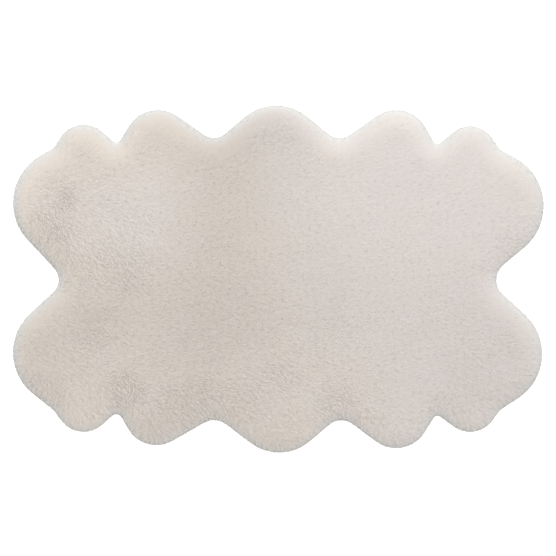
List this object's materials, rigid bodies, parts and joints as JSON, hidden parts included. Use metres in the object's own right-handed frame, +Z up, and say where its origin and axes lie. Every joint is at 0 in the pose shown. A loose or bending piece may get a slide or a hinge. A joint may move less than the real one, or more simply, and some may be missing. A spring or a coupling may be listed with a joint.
{
  "type": "faux fur rug",
  "caption": "Scalloped, pelt-shaped faux fur rug with a deep, soft, off-white pile, lying flat on the floor.",
  "frame": {"origin": "on the floor, under the middle of the rug's box", "axes": "+X along the rug's length, +Y across it, +Z up out of the pile"},
  "size_m": [1.795, 1.1746, 0.035],
  "materials": {
    "fur": "deep off-white acrylic pile, soft and matt"
  },
  "bodies": {
    "root": {"fur_rug": "fur"}
  },
  "joints": []
}
